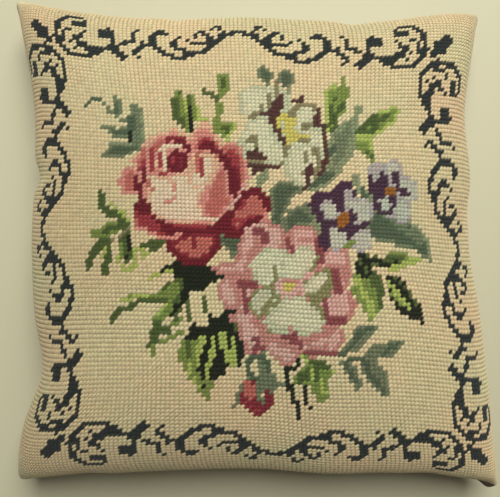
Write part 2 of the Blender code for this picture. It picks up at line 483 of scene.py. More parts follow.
scroll(1.2, (42.2, 16.1), (42.6, 14.7), (43.6, 13.6))
scroll(1.4, (42.2, 21.4), (43.4, 20.0), (44.8, 18.9), (46.4, 18.0))
bead(43.5, 22.4, 0.6, 0.6)
bead(49.4, 14.3, 1.3, 1.1)
scroll(1.5, (48.9, 13.6), (47.6, 14.4), (46.9, 16.0))
scroll(2.0, (46.9, 16.0), (46.8, 17.8), (47.7, 19.3), (49.0, 20.5))
scroll(1.3, (49.0, 20.5), (50.6, 21.6), (52.6, 22.2), (54.6, 22.0), (56.2, 21.3))
scroll(1.6, (56.0, 21.0), (58.0, 20.6), (59.8, 19.6), (61.0, 18.3), (62.2, 17.3))
scroll(1.2, (53.6, 15.5), (52.4, 16.3), (52.0, 17.6))
scroll(1.7, (52.0, 17.6), (52.5, 19.0), (54.0, 19.7))
scroll(1.2, (54.0, 19.9), (56.0, 20.2), (58.0, 20.1))
bead(55.7, 16.6, 0.8, 0.7)
scroll(1.3, (56.4, 17.8), (58.0, 17.9), (59.8, 17.2))
scroll(1.5, (57.3, 14.9), (58.0, 14.0), (59.3, 13.8), (60.3, 14.7), (60.8, 16.0))
scroll(2.3, (60.8, 16.2), (61.0, 17.6))
scroll(1.3, (61.9, 12.2), (62.9, 11.7), (63.8, 12.6), (64.1, 14.0), (63.7, 15.6))
scroll(1.7, (64.2, 15.8), (62.8, 16.8))
scroll(1.1, (64.6, 15.4), (65.8, 14.4), (67.2, 13.2), (68.0, 12.9))
bead(66.5, 14.6, 0.8, 0.7)

# Ground stitches that part the scrolls along each corner's slanting line
begin("ground")
work("ground", (np.abs(BORDER[0] - BORDER[1]) < 0.6) & (BORDER[0] > 20.8) & (BORDER[0] < 24.4))

# Leaves and stems behind the flowers
begin("leaves")
line("deep_teal", 4, (85, 105), (90, 100), (97, 98), (104, 103))
line("teal", 3, (104, 103), (109, 110), (117, 117), (126, 121))
petal([(112, 97), (118, 97), (120, 107), (120, 115), (117, 118), (112, 112), (112, 104)], "teal", 3, "deep_teal")
petal([(101, 128), (104, 123), (111, 125), (117, 128), (128, 126), (131, 132), (129, 137), (118, 137), (111, 134),
      (106, 130)], "teal", 3, "deep_teal")
petal([(128, 113), (132, 103), (138, 105), (143, 116), (146, 132), (143, 143), (137, 149), (130, 144), (127, 130)],
      "teal")
line("deep_teal", 5, (130, 114), (131, 128), (131, 142))
line("sage", 3, (141, 113), (143, 124), (143, 138))
line("night_green", 2.5, (129, 132), (130, 141))
petal([(102, 157), (106, 149), (112, 143), (122, 140), (134, 143), (139, 147), (135, 152), (124, 156), (112, 157)],
      "teal", 3, "deep_teal")
line("sage", 3, (111, 144), (122, 143), (130, 143))
petal([(177, 89), (182, 93), (185, 104), (186, 116), (188, 129), (181, 127), (175, 120), (170, 113), (170, 103),
      (173, 96)], "forest")
line("leaf", 5, (177, 93), (181, 102), (183, 114))
line("lime", 3, (184, 100), (185, 112), (187, 122))
petal([(189, 91), (193, 96), (196, 107), (195, 118), (193, 130), (187, 130), (186, 116), (186, 101)], "leaf")
line("night_green", 5, (190, 104), (190, 116), (190, 130))
line("forest", 3, (189, 94), (190, 104))
line("lime", 4.5, (196, 106), (198, 116), (206, 121))
petal([(215, 76), (223, 73), (231, 79), (228, 90), (221, 99), (218, 90)], "leaf", 5, "forest")
line("forest", 5, (205, 91), (211, 94), (216, 100))
line("leaf", 6, (218, 103), (219, 111), (216, 120), (212, 128))
petal([(212, 129), (220, 122), (231, 120), (238, 122), (234, 130), (227, 141), (221, 135), (215, 134)], "leaf", 5,
      "forest")
line("lime", 3.5, (236, 122), (231, 132), (227, 140))
petal([(337, 84), (341, 90), (341, 108), (338, 122), (334, 131), (328, 132), (325, 122), (324, 106), (325, 93),
      (330, 86)], "lime", 4, "leaf")
petal([(345, 76), (348, 86), (348, 98), (345, 108), (341, 118), (337, 112), (339, 96), (340, 82)], "leaf")
line("forest", 4, (337, 98), (338, 110), (336, 124))
line("forest", 4, (333, 92), (333, 106), (331, 120))
line("forest", 3, (346, 82), (346, 96), (343, 108))
petal([(359, 103), (362, 110), (358, 122), (357, 138), (356, 149), (349, 160), (342, 170), (334, 180), (326, 186),
      (317, 190), (308, 189), (316, 178), (325, 166), (328, 154), (329, 140), (330, 130), (338, 125), (346, 121),
      (352, 116)], "sage", 7, "teal", 12, "sage")
line("deep_teal", 5, (327, 158), (332, 152), (333, 146))
line("teal", 4, (350, 124), (342, 136), (341, 152))
line("deep_teal", 8, (314, 184), (322, 180), (329, 174))
line("forest", 5, (327, 124), (332, 129), (337, 127))
petal([(269, 192), (276, 184), (283, 180), (291, 181), (299, 185), (308, 187), (312, 188), (303, 192), (294, 195),
      (290, 201), (287, 209), (282, 217), (286, 224), (290, 232), (278, 226), (270, 222), (271, 206)], "teal", 3.5,
      "deep_teal")
petal([(283, 221), (289, 211), (298, 206), (308, 203), (312, 206), (314, 215), (321, 220), (328, 225), (324, 233),
      (316, 233), (308, 227), (298, 226), (290, 232)], "teal", 3.5, "deep_teal")
petal([(310, 221), (318, 219), (328, 225), (324, 233), (316, 233), (310, 227)], "sage")
line("teal", 5, (298, 208), (306, 210), (309, 216))
petal([(256, 184), (257, 177), (262, 172), (268, 170), (268, 177), (264, 184), (259, 187)], "sage")
petal([(398, 106), (399, 114), (395, 121), (388, 127), (381, 132), (375, 136), (365, 137), (357, 135), (357, 129),
      (364, 121), (371, 114), (384, 110)], "lime", 3, "leaf")
line("forest", 8, (361, 130), (368, 122), (376, 118))
line("forest", 5, (374, 130), (378, 122), (388, 116))
line("forest", 4, (366, 133), (374, 132))
petal([(356, 136), (365, 136), (371, 140), (374, 148), (375, 161), (369, 159), (362, 153), (357, 146)], "leaf")
line("lime", 4, (359, 138), (367, 138), (372, 146))
line("forest", 4, (366, 150), (371, 155))
petal([(352, 179), (356, 170), (360, 177), (364, 187), (371, 191), (376, 197), (370, 201), (361, 200), (358, 190)],
      "sage")
line("deep_teal", 4.5, (361, 186), (362, 193), (369, 198))
petal([(371, 216), (377, 207), (384, 213), (396, 219), (410, 222), (419, 229), (426, 237), (430, 248), (433, 262),
      (425, 258), (415, 250), (403, 248), (392, 243), (378, 240), (368, 237), (367, 226)], "teal", 3.5, "deep_teal")
line("teal", 8, (398, 224), (410, 232), (421, 243))
line("sage", 3.5, (404, 221), (418, 229), (427, 242), (430, 256))
line("deep_teal", 5, (400, 238), (412, 243), (424, 252))
petal([(357, 254), (363, 252), (369, 257), (372, 266), (379, 275), (383, 286), (384, 298), (382, 309), (378, 312),
      (376, 298), (372, 288), (364, 280), (357, 270)], "forest")
petal([(357, 254), (363, 252), (369, 258), (371, 268), (376, 277), (370, 284), (362, 277), (357, 268)],
      "night_green")
line("forest", 4, (361, 260), (366, 270), (373, 280))
line("leaf", 6, (364, 280), (371, 288), (375, 298))
petal([(369, 259), (376, 256), (384, 258), (392, 252), (400, 250), (407, 252), (411, 259), (405, 265), (394, 268),
      (382, 269), (373, 265)], "forest")
line("leaf", 4, (392, 253), (402, 252), (408, 258))
line("night_green", 5, (374, 260), (384, 264), (396, 264))
line("ground", 2, (374, 263), (380, 270), (385, 276))
line("lime", 7, (391, 269), (400, 266), (410, 262), (419, 260))
petal([(353, 274), (359, 274), (364, 282), (369, 291), (375, 299), (379, 308), (376, 317), (371, 323), (365, 313),
      (358, 302), (353, 290)], "leaf")
line("lime", 6, (358, 280), (364, 294), (371, 306), (372, 316))
petal([(386, 277), (395, 275), (404, 281), (410, 289), (415, 298), (421, 306), (425, 318), (424, 326), (417, 320),
      (408, 317), (400, 311), (393, 303), (390, 294), (388, 285)], "night_green")
line("forest", 4, (396, 278), (408, 290), (416, 304))
line("lime", 5.5, (388, 282), (396, 292), (403, 302), (411, 308))
line("leaf", 3, (392, 296), (400, 304))
petal([(96, 194), (100, 189), (104, 196), (105, 203), (112, 209), (119, 214), (123, 219), (132, 225), (128, 230),
      (119, 226), (117, 220), (107, 217), (100, 211), (97, 203)], "forest")
line("lime", 3, (109, 204), (120, 211), (130, 221))
petal([(89, 236), (92, 231), (102, 227), (110, 222), (120, 223), (121, 229), (113, 234), (105, 238), (95, 239)],
      "leaf")
line("forest", 5, (104, 231), (113, 228), (120, 225))
line("taupe", 2.5, (110, 243), (121, 234), (131, 227))
petal([(103, 238), (109, 240), (107, 247), (100, 250), (97, 257), (92, 262), (90, 269), (85, 268), (86, 259),
      (90, 248), (97, 241)], "forest")
petal([(107, 249), (112, 250), (112, 260), (108, 268), (106, 276), (101, 274), (101, 265), (104, 257)], "forest")
line("lime", 4, (105, 249), (102, 258))
petal([(119, 243), (125, 231), (130, 234), (129, 241), (132, 247), (130, 257), (128, 266), (123, 261), (123, 250)],
      "forest")
line("night_green", 3, (127, 236), (128, 248), (126, 258))
line("leaf", 3.5, (120, 243), (121, 252), (120, 260))
line("lime", 4.5, (118, 256), (121, 265), (129, 271), (134, 262), (133, 250))
petal([(140, 247), (146, 243), (154, 240), (165, 239), (163, 246), (156, 252), (151, 253), (149, 249)], "forest")
line("lime", 6, (140, 250), (145, 253), (142, 259))
petal([(159, 271), (168, 264), (180, 261), (195, 263), (208, 266), (216, 273), (225, 278), (214, 283), (206, 288),
      (198, 292), (190, 292), (186, 300), (174, 314), (169, 313), (176, 302), (171, 292), (174, 280), (170, 274)],
      "night_green")
line("lime", 4, (149, 281), (156, 274), (170, 273))
petal([(155, 294), (164, 285), (177, 278), (184, 280), (181, 291), (180, 300), (174, 304), (162, 300)], "forest", 3,
      "leaf")
line("leaf", 6, (121, 300), (134, 297), (150, 297), (166, 300))
line("lime", 4.5, (121, 301), (134, 298), (146, 297))
line("forest", 5, (111, 323), (115, 315), (121, 309), (130, 307), (135, 303), (143, 302), (152, 301), (166, 303))
petal([(170, 300), (175, 304), (169, 313), (163, 320), (156, 323), (152, 318), (158, 312), (163, 305)], "leaf")
line("lime", 3.5, (169, 303), (162, 312), (156, 318))
petal([(152, 322), (158, 322), (161, 330), (158, 340), (152, 349), (146, 348), (149, 340), (150, 331)], "forest")
line("leaf", 4.5, (154, 345), (154, 356))
petal([(161, 331), (166, 325), (172, 328), (172, 334), (165, 336)], "forest")
line("leaf", 5, (174, 323), (182, 321))
line("forest", 3.5, (173, 321), (177, 315), (181, 311))
line("leaf", 4.5, (160, 343), (170, 339), (180, 334))
line("forest", 4.5, (188, 302), (188, 312), (189, 320))
line("forest", 4.5, (204, 296), (205, 304), (206, 313))
petal([(178, 354), (182, 345), (188, 334), (190, 328), (195, 323), (200, 330), (206, 326), (209, 321), (209, 312),
      (213, 317), (220, 318), (226, 310), (238, 309), (237, 315), (231, 319), (235, 327), (240, 336), (243, 350),
      (242, 363), (236, 367), (228, 366), (226, 373), (218, 379), (212, 386), (210, 401), (203, 398), (194, 386),
      (184, 370)], "night_green")
petal([(178, 354), (182, 343), (190, 341), (197, 342), (200, 356), (198, 370), (201, 384), (206, 392), (210, 401),
      (203, 398), (194, 386), (185, 372)], "leaf")
line("forest", 6, (187, 345), (189, 356))
line("lime", 7, (202, 340), (199, 350), (197, 362))
line("lime", 3.5, (188, 364), (192, 376), (198, 386))
line("lime", 6, (213, 340), (212, 354), (208, 366), (207, 380))
line("leaf", 6, (204, 382), (210, 384), (206, 394))
line("lime", 6, (221, 333), (223, 345), (228, 352), (230, 364))
line("lime", 5, (234, 338), (234, 350), (235, 365))
line("forest", 4, (233, 320), (236, 329))
petal([(220, 232), (226, 236), (243, 237), (242, 246), (238, 254), (236, 262), (231, 259), (229, 252), (222, 247),
      (218, 240)], "teal", 3, "deep_teal")
petal([(255, 356), (261, 352), (267, 358), (272, 368), (276, 380), (286, 383), (287, 388), (276, 390), (270, 397),
      (262, 392), (258, 384), (261, 376), (258, 366)], "teal")
line("deep_teal", 5.5, (250, 360), (256, 355), (264, 360), (270, 370))
line("deep_teal", 5, (249, 362), (248, 373), (256, 379))
line("teal", 4, (247, 379), (241, 387), (238, 397), (235, 408))
line("night_green", 5, (288, 367), (289, 380), (291, 394), (297, 407), (299, 420))
line("night_green", 4.5, (300, 361), (296, 368), (289, 371))
line("night_green", 4.5, (305, 388), (306, 400), (311, 410))
petal([(302, 356), (306, 353), (314, 357), (324, 361), (332, 367), (338, 373), (333, 377), (328, 379), (330, 386),
      (329, 397), (323, 404), (316, 398), (311, 389), (306, 384), (296, 386), (295, 378), (303, 368)], "leaf")
petal([(312, 358), (322, 360), (330, 367), (326, 371), (316, 369), (310, 364)], "forest")
petal([(296, 378), (304, 371), (311, 372), (309, 380), (300, 384)], "forest")
line("forest", 5, (317, 371), (316, 381))
line("lime", 3.5, (303, 357), (308, 362))
line("lime", 4, (313, 370), (312, 380))
line("lime", 3.5, (326, 374), (337, 374))
line("lime", 6, (321, 382), (324, 394))
petal([(353, 337), (357, 328), (366, 325), (374, 327), (379, 331), (371, 335), (367, 343), (362, 349), (352, 353),
      (344, 356), (337, 357), (338, 352), (347, 347)], "teal")
line("deep_teal", 5, (372, 328), (362, 332), (355, 342), (348, 350))
petal([(362, 356), (369, 349), (378, 344), (390, 342), (401, 340), (404, 344), (398, 351), (391, 357), (378, 360),
      (368, 360)], "teal")
line("deep_teal", 5, (400, 344), (392, 348), (384, 355))
line("deep_teal", 4, (338, 354), (350, 358), (364, 358))
petal([(361, 362), (370, 361), (379, 364), (387, 373), (389, 385), (388, 396), (383, 397), (377, 389), (370, 383),
      (364, 374)], "teal")
line("deep_teal", 5, (365, 364), (370, 375), (378, 384), (384, 393))
petal([(341, 361), (348, 362), (355, 368), (360, 377), (361, 386), (358, 391), (353, 384), (347, 375), (343, 368)],
      "teal")
line("deep_teal", 3.5, (345, 364), (350, 372), (356, 381))

# The bud under the bouquet
begin("rose")
petal([(244, 383), (252, 381), (255, 389), (256, 398), (261, 405), (265, 402), (264, 394), (268, 390), (273, 396),
      (273, 405), (268, 411), (262, 417), (253, 416), (246, 410), (241, 402), (242, 392)], "crimson")
petal([(244, 384), (251, 381), (254, 388), (254, 397), (250, 400), (244, 396)], "coral")
line("red", 3.5, (244, 400), (250, 408), (260, 413))
begin("leaves")
line("teal", 5, (258, 384), (259, 394), (262, 404))

# The wild rose: pink outer petals, shaded between, and ivory inner ones
WILD_OUTER = (
    [(240, 235), (245, 227), (254, 222), (266, 221), (280, 225), (288, 233), (292, 246), (280, 252), (262, 250),
     (252, 258), (246, 272), (232, 276), (218, 274), (211, 268), (222, 263), (232, 262), (238, 252)],
    [(289, 233), (295, 226), (304, 224), (313, 227), (321, 236), (322, 250), (316, 262), (296, 258), (289, 246)],
    [(318, 256), (328, 250), (340, 248), (349, 252), (352, 264), (351, 278), (347, 290), (336, 296), (326, 282),
     (320, 268)],
    [(318, 302), (330, 292), (344, 287), (352, 294), (357, 303), (354, 313), (346, 322), (336, 326), (325, 326),
     (316, 316)],
    [(298, 342), (312, 334), (328, 327), (342, 328), (346, 338), (340, 350), (330, 357), (316, 358), (303, 355)],
    [(264, 342), (274, 336), (292, 334), (303, 342), (303, 354), (297, 362), (290, 367), (280, 363), (268, 354)],
    [(229, 318), (240, 310), (252, 313), (264, 322), (268, 338), (266, 350), (257, 354), (245, 352), (241, 340),
     (237, 327)],
    [(218, 284), (228, 276), (244, 276), (254, 286), (254, 300), (250, 313), (240, 312), (226, 308), (219, 298)],
)
begin("wild_rose")
petal([(244, 250), (260, 240), (290, 236), (322, 248), (340, 276), (338, 310), (320, 338), (296, 348), (262, 344),
      (242, 318), (236, 280)], "rose_mid")
for shape in WILD_OUTER:
    petal(shape, "rose_mid", 4, "rose_pale")
line("rose_pale", 4, (243, 234), (250, 227), (262, 224))
line("rose_deep", 8, (254, 231), (262, 233), (265, 242))
line("rose_mid", 8, (256, 238), (256, 246), (249, 254))
line("rose_mid", 7, (283, 230), (284, 240), (282, 248))
line("rose_deep", 5, (288, 238), (291, 248), (294, 252))
line("rose_mid", 5, (300, 240), (310, 240), (318, 236))
line("rose_deep", 5, (316, 242), (320, 252), (321, 262))
line("rose_deep", 7.5, (336, 273), (337, 282), (339, 292))
line("rose_mid", 6, (330, 266), (342, 268), (345, 280))
line("rose_deep", 7, (326, 302), (325, 312), (330, 321), (346, 321))
line("rose_mid", 5, (351, 296), (353, 308))
line("rose_deep", 10, (285, 340), (292, 337), (299, 346))
line("rose_mid", 8, (272, 340), (284, 344), (300, 352))
line("rose_deep", 5, (304, 353), (318, 355), (334, 354))
line("rose_mid", 7, (306, 342), (318, 336), (332, 332))
line("rose_mid", 6, (312, 350), (328, 347))
line("rose_deep", 6, (256, 340), (262, 346), (254, 352))
line("rose_mid", 7, (254, 320), (262, 330), (262, 342))
line("rose_deep", 8, (242, 284), (249, 284), (255, 287))
line("rose_deep", 7, (244, 292), (246, 302), (247, 311))
line("rose_mid", 8, (234, 284), (238, 296), (238, 306))
petal([(284, 262), (304, 262), (318, 266), (312, 292), (300, 302), (280, 302), (272, 290), (274, 274)], "rose_mid",
      3, "rose_pale")
petal([(249, 265), (254, 257), (262, 251), (272, 248), (282, 249), (291, 254), (290, 266), (286, 278), (278, 276),
      (273, 286), (264, 288), (255, 279)], "pale_green", 2.5, "ivory")
petal([(284, 256), (291, 255), (296, 249), (303, 246), (311, 248), (318, 257), (317, 265), (309, 271), (298, 279),
      (286, 280), (280, 273)], "pale_green", 2.5, "ivory")
line("olive", 4.5, (276, 266), (276, 275), (272, 286))
line("olive", 3.5, (318, 257), (315, 265), (310, 270))
petal([(302, 289), (306, 281), (314, 275), (322, 270), (330, 271), (334, 278), (333, 290), (328, 297), (318, 301),
      (307, 297)], "olive")
petal([(304, 288), (311, 279), (322, 273), (329, 275), (325, 285), (317, 292), (307, 293)], "pale_green", 2,
      "ivory")
petal([(264, 321), (272, 313), (279, 306), (286, 298), (294, 295), (304, 299), (313, 305), (321, 312), (325, 321),
      (322, 330), (312, 335), (300, 336), (294, 329), (287, 334), (276, 336), (268, 331)], "pale_green", 3.5,
      "ivory")
line("olive", 4, (314, 303), (322, 311), (324, 320))
line("pale_green", 8, (268, 322), (276, 328), (284, 330))
line("olive", 2.5, (270, 332), (280, 335))
line("pale_green", 3, (290, 306), (291, 320))
line("rose_mid", 4, (291, 326), (292, 334))
petal([(249, 301), (253, 292), (262, 288), (272, 287), (280, 291), (279, 301), (275, 310), (266, 317), (256, 317),
      (250, 310)], "olive", 2.5, "pale_green")
line("olive", 5, (274, 294), (270, 304), (264, 311))
spot("rose_pale", 291, 289, 12, 9)
line("rose_mid", 3, (284, 281), (292, 280), (299, 283))
line("rose_mid", 3, (284, 296), (294, 296), (300, 292))
spot("yellow", 289, 288, 5.5, 5)

# The white flower
begin("leaves")
petal([(261, 61), (264, 66), (271, 70), (272, 78), (270, 89), (264, 83), (259, 77), (258, 70)], "teal", 3,
      "deep_teal")
begin("white_flower")
petal([(268, 88), (284, 88), (288, 104), (300, 108), (300, 146), (282, 150), (262, 122), (252, 112)], "pale_green")
begin("leaves")
petal([(279, 79), (281, 72), (287, 70), (293, 72), (294, 79), (291, 86), (285, 88), (281, 85)], "teal", 2.5,
      "deep_teal")
line("sage", 4, (289, 87), (290, 97))
begin("white_flower")
petal([(240, 92), (246, 87), (264, 86), (267, 92), (268, 106), (262, 113), (250, 118), (240, 110), (239, 100)],
      "pale_green", 2.5, "ivory")
line("taupe", 3.5, (263, 92), (263, 110))
line("ivory", 3.5, (267, 88), (267, 104))
line("taupe", 3.5, (271, 88), (270, 98), (269, 112))
line("pale_green", 3.5, (274, 88), (274, 100))
line("taupe", 4.5, (277, 82), (278, 96))
petal([(271, 104), (275, 99), (281, 94), (286, 96), (285, 105), (281, 111), (277, 118), (279, 128), (284, 137),
      (286, 144), (280, 144), (276, 134), (271, 124), (269, 114)], "plum_brown")
line("taupe", 4.5, (250, 115), (262, 114))
line("plum_brown", 4.5, (263, 114), (276, 115))
petal([(244, 126), (248, 119), (262, 117), (269, 120), (274, 132), (281, 143), (288, 150), (287, 160), (278, 166),
      (266, 164), (256, 154), (244, 156), (238, 142)], "pale_green", 3.5, "ivory")
line("pale_green", 7, (242, 142), (246, 152), (248, 160))
line("taupe", 4.5, (248, 139), (255, 139), (255, 148))
line("taupe", 3.5, (284, 147), (285, 158), (281, 166))
line("taupe", 2.5, (289, 146), (289, 162))
petal([(246, 158), (250, 151), (257, 149), (263, 152), (266, 158), (260, 160), (268, 164), (279, 164), (278, 169),
      (264, 169), (257, 174), (253, 176), (251, 168)], "plum_brown")
line("taupe", 4, (250, 160), (262, 161))
petal([(288, 113), (293, 106), (302, 101), (313, 103), (319, 110), (321, 122), (310, 128), (300, 130), (291, 124)],
      "taupe")
petal([(294, 118), (298, 109), (306, 105), (313, 108), (316, 117), (310, 122), (303, 125), (300, 132), (293, 126)],
      "pale_green", 2, "ivory")
line("plum_brown", 4.5, (294, 101), (303, 98))
petal([(311, 124), (314, 119), (317, 110), (321, 109), (323, 120), (325, 129), (318, 127)], "plum_brown")
line("taupe", 3.5, (302, 123), (312, 123))
line("pale_green", 5, (287, 110), (288, 102), (287, 95))
petal([(296, 136), (306, 129), (316, 127), (323, 132), (325, 146), (325, 160), (320, 174), (310, 186), (298, 187),
      (288, 178), (284, 166), (288, 150)], "pale_green", 3.5, "ivory")
line("plum_brown", 4.5, (323, 126), (326, 138), (326, 148))
line("plum_brown", 4.5, (325, 153), (325, 163), (320, 174))
line("taupe", 5.5, (312, 150), (319, 153), (319, 164), (315, 177))
line("taupe", 3.5, (304, 151), (305, 162), (305, 174))
line("pale_green", 4, (298, 147), (310, 145), (322, 148))
line("plum_brown", 5.5, (310, 166), (309, 177), (304, 188))
line("taupe", 3.5, (301, 140), (307, 140))
line("pale_green", 5, (286, 172), (293, 180), (302, 184))
petal([(276, 122), (280, 115), (286, 111), (288, 117), (298, 120), (294, 127), (300, 132), (309, 134), (308, 138),
      (298, 138), (294, 146), (287, 143), (284, 134), (279, 128)], "yellow")
line("pale_green", 2.5, (282, 120), (284, 126))
line("pale_green", 2.5, (290, 138), (293, 144))

# Violets
begin("violets")
petal([(320, 200), (344, 192), (360, 202), (362, 232), (350, 240), (330, 232)], "violet")
petal([(376, 180), (398, 180), (400, 204), (394, 218), (380, 210)], "grey_lilac")
petal([(310, 207), (311, 197), (317, 191), (328, 190), (334, 195), (331, 201), (322, 202), (321, 210), (328, 219),
      (334, 223), (328, 228), (318, 220)], "violet")
petal([(321, 204), (328, 201), (336, 202), (340, 209), (338, 218), (331, 221), (324, 216)], "grey_lilac", 2.5,
      "pearl")
petal([(333, 201), (333, 190), (338, 183), (345, 180), (352, 183), (355, 191), (356, 199), (350, 202), (343, 204),
      (345, 212), (341, 213), (336, 206)], "violet")
petal([(343, 196), (346, 189), (351, 191), (351, 199), (347, 201)], "grey_lilac")
petal([(344, 201), (354, 198), (367, 198), (373, 203), (373, 215), (367, 223), (357, 224), (350, 216)],
      "grey_lilac", 2, "pearl")
line("violet", 6.5, (352, 211), (354, 220))
petal([(319, 238), (323, 227), (330, 223), (333, 230), (330, 240), (330, 249), (322, 248)], "violet")
petal([(330, 232), (336, 227), (344, 230), (349, 238), (348, 247), (340, 250), (331, 248)], "grey_lilac", 2,
      "pearl")
petal([(353, 236), (360, 230), (369, 230), (372, 238), (371, 248), (362, 252), (354, 249)], "grey_lilac", 2,
      "pearl")
line("violet", 5.5, (340, 228), (354, 227), (367, 225))
line("violet", 5, (348, 229), (350, 241))
begin("leaves")
line("leaf", 4.5, (345, 246), (352, 244))
begin("violets")
spot("orange", 343.5, 220, 6.5, 7.5)
petal([(368, 170), (375, 163), (383, 162), (388, 165), (394, 160), (401, 164), (402, 172), (398, 184), (390, 186),
      (384, 176), (374, 180), (369, 176)], "grey_lilac")
petal([(386, 166), (394, 162), (400, 167), (398, 174), (391, 176)], "pearl")
petal([(399, 180), (408, 177), (417, 181), (420, 190), (417, 200), (408, 203), (400, 198)], "grey_lilac", 2.5,
      "pearl")
petal([(393, 202), (402, 199), (410, 203), (413, 211), (410, 220), (401, 223), (394, 216)], "grey_lilac", 2.5,
      "pearl")
petal([(367, 178), (373, 176), (376, 184), (379, 178), (382, 172), (387, 174), (388, 186), (384, 197), (378, 200),
      (371, 192)], "violet")
line("grey_lilac", 2.5, (376, 180), (377, 186))
line("violet", 4.5, (396, 173), (397, 184))
line("violet", 7, (401, 190), (407, 193))
line("violet", 5, (377, 198), (378, 207), (384, 213), (390, 211), (394, 205), (393, 198))
petal([(381, 201), (387, 199), (390, 204), (388, 210), (382, 208)], "pearl")
spot("orange", 392.5, 191, 6, 6)

# The rose, from its outer petals to its heart
begin("rose")
petal([(118, 180), (122, 170), (130, 166), (138, 168), (142, 180), (140, 196), (132, 195), (122, 192)], "pink", 5,
      "coral")
petal([(130, 158), (137, 151), (143, 143), (152, 136), (163, 131), (174, 129), (182, 132), (188, 137), (194, 130),
      (203, 122), (209, 124), (215, 132), (222, 140), (231, 142), (240, 147), (245, 158), (248, 172), (249, 184),
      (244, 194), (232, 208), (222, 222), (204, 230), (180, 232), (160, 226), (146, 216), (138, 200), (134, 184),
      (134, 170)], "peach", 4, "pink")
petal([(132, 210), (140, 200), (150, 204), (158, 216), (170, 224), (174, 234), (168, 240), (154, 236), (140, 230),
      (133, 220)], "coral", 3, "red")
line("maroon", 10, (144, 203), (145, 208))
line("maroon", 7, (150, 212), (160, 221), (172, 230))
line("cream", 4, (160, 152), (162, 146), (172, 145), (184, 147))
line("coral", 5, (155, 148), (160, 142), (168, 138))
line("crimson", 6, (166, 140), (175, 138), (182, 140))
line("maroon", 6, (178, 141), (184, 144), (189, 149))
line("coral", 3.5, (141, 154), (145, 148))
line("peach", 4, (152, 150), (154, 160), (154, 168))
line("red", 3.6, (150, 149), (150, 158), (151, 168))
line("red", 3.6, (159, 154), (159, 164), (158, 172), (163, 175), (168, 171))
line("cream", 3.5, (164, 151), (164, 162), (166, 170))
petal([(196, 146), (200, 138), (206, 136), (213, 139), (219, 147), (224, 158), (217, 156), (209, 150), (201, 151)],
      "coral", 2.5, "red")
petal([(200, 145), (205, 140), (210, 141), (215, 146), (222, 155), (214, 154), (208, 148), (201, 149)], "maroon")
petal([(146, 204), (147, 192), (147, 178), (152, 174), (164, 176), (172, 174), (184, 172), (188, 162), (192, 154),
      (198, 156), (206, 152), (215, 158), (214, 172), (208, 186), (202, 194), (199, 204), (205, 212), (210, 222),
      (190, 223), (170, 222), (158, 218), (151, 212)], "peach", 3, "cream")
line("peach", 3.5, (170, 182), (176, 181))
line("pink", 2.5, (172, 184), (174, 190))
line("pink", 3.5, (161, 199), (168, 201), (174, 199))
line("peach", 4, (190, 172), (190, 182), (198, 186))
line("peach", 6, (194, 156), (193, 168))
line("coral", 4, (196, 156), (197, 168), (201, 175))
line("red", 4.5, (201, 158), (203, 168), (202, 174))
petal([(216, 168), (216, 156), (222, 160), (228, 174), (231, 190), (229, 204), (223, 216), (214, 222), (207, 220),
      (200, 208), (203, 196), (208, 182)], "pink", 5, "coral")
line("peach", 4, (215, 158), (216, 168), (211, 182))
line("coral", 5, (208, 206), (214, 214), (220, 212))
petal([(222, 146), (234, 143), (242, 150), (246, 162), (247, 176), (243, 188), (236, 196), (230, 190), (228, 172),
      (222, 158)], "pink", 2.5, "coral", 6, "red")
petal([(217, 150), (222, 150), (228, 156), (233, 164), (238, 174), (241, 184), (239, 192), (234, 197), (230, 190),
      (227, 174), (222, 162)], "maroon")
line("crimson", 4, (236, 166), (240, 178))
line("coral", 4, (228, 198), (230, 206))
spot("maroon", 177, 161, 10.5, 11.5)
line("red", 4, (172, 156), (174, 164))
line("crimson", 3.5, (180, 158), (180, 166))
line("red", 6, (143, 160), (142, 169))
line("coral", 4, (138, 166), (142, 158))
line("maroon", 5, (145, 168), (144, 177), (138, 184), (140, 194), (142, 202))
line("maroon", 4, (135, 178), (136, 188))
line("pink", 4.5, (137, 172), (139, 180))
spot("maroon", 143, 206, 8, 7)
line("coral", 4, (148, 180), (149, 185), (153, 190))
line("pink", 3.5, (136, 227), (150, 232), (162, 238), (172, 239))
line("pink", 4, (168, 223), (190, 225), (210, 222))
line("cream", 2.5, (208, 220), (217, 220))
line("maroon", 8, (164, 229), (180, 232), (200, 231), (216, 226), (228, 214))
line("red", 4, (176, 227), (190, 228), (206, 226))
petal([(165, 244), (170, 236), (184, 230), (200, 228), (216, 228), (222, 238), (218, 252), (208, 263), (196, 265),
      (182, 263), (170, 255)], "maroon", 6, "crimson", 9, "coral")
line("crimson", 2.5, (193, 236), (194, 250))
line("pink", 4, (170, 240), (175, 237), (179, 233))
petal([(226, 222), (232, 208), (240, 197), (250, 187), (262, 189), (270, 199), (272, 208), (266, 216), (254, 223),
      (245, 228), (240, 236), (230, 236), (222, 232)], "maroon", 5, "red", 8, "coral")
line("coral", 8, (238, 214), (250, 212), (262, 209))
line("red", 5, (236, 220), (246, 222))
line("maroon", 11, (216, 229), (226, 231), (234, 234))
spot("maroon", 226, 222, 6)
line("maroon", 8, (244, 195), (254, 192), (262, 196), (268, 205))
line("rose_pale", 3, (227, 209), (234, 202), (241, 193), (247, 184), (250, 177))
line("pink", 3.5, (264, 217), (268, 212))

# Yarn colours: each stitch a little lighter or darker, and the wool in uneven dye lots
draw = np.random.default_rng(11)
SHADE_SPREAD = 0.035
SHADE_LOTS = {"strength": 0.02, "scale": 9, "seed": 3}
TINT_SPREAD = 0.012
TINT_LOTS = {"strength": 0.028, "scale": 4, "seed": 5}
TINT_ON_GREEN, TINT_ON_BLUE = 0.6, 0.4
DARKEST_SHADE, LIGHTEST_SHADE = 0.78, 1.25
DARKEST, LIGHTEST = 0.002, 0.95
WAVES = 9
SLOWEST, FASTEST = 0.5, 1.6


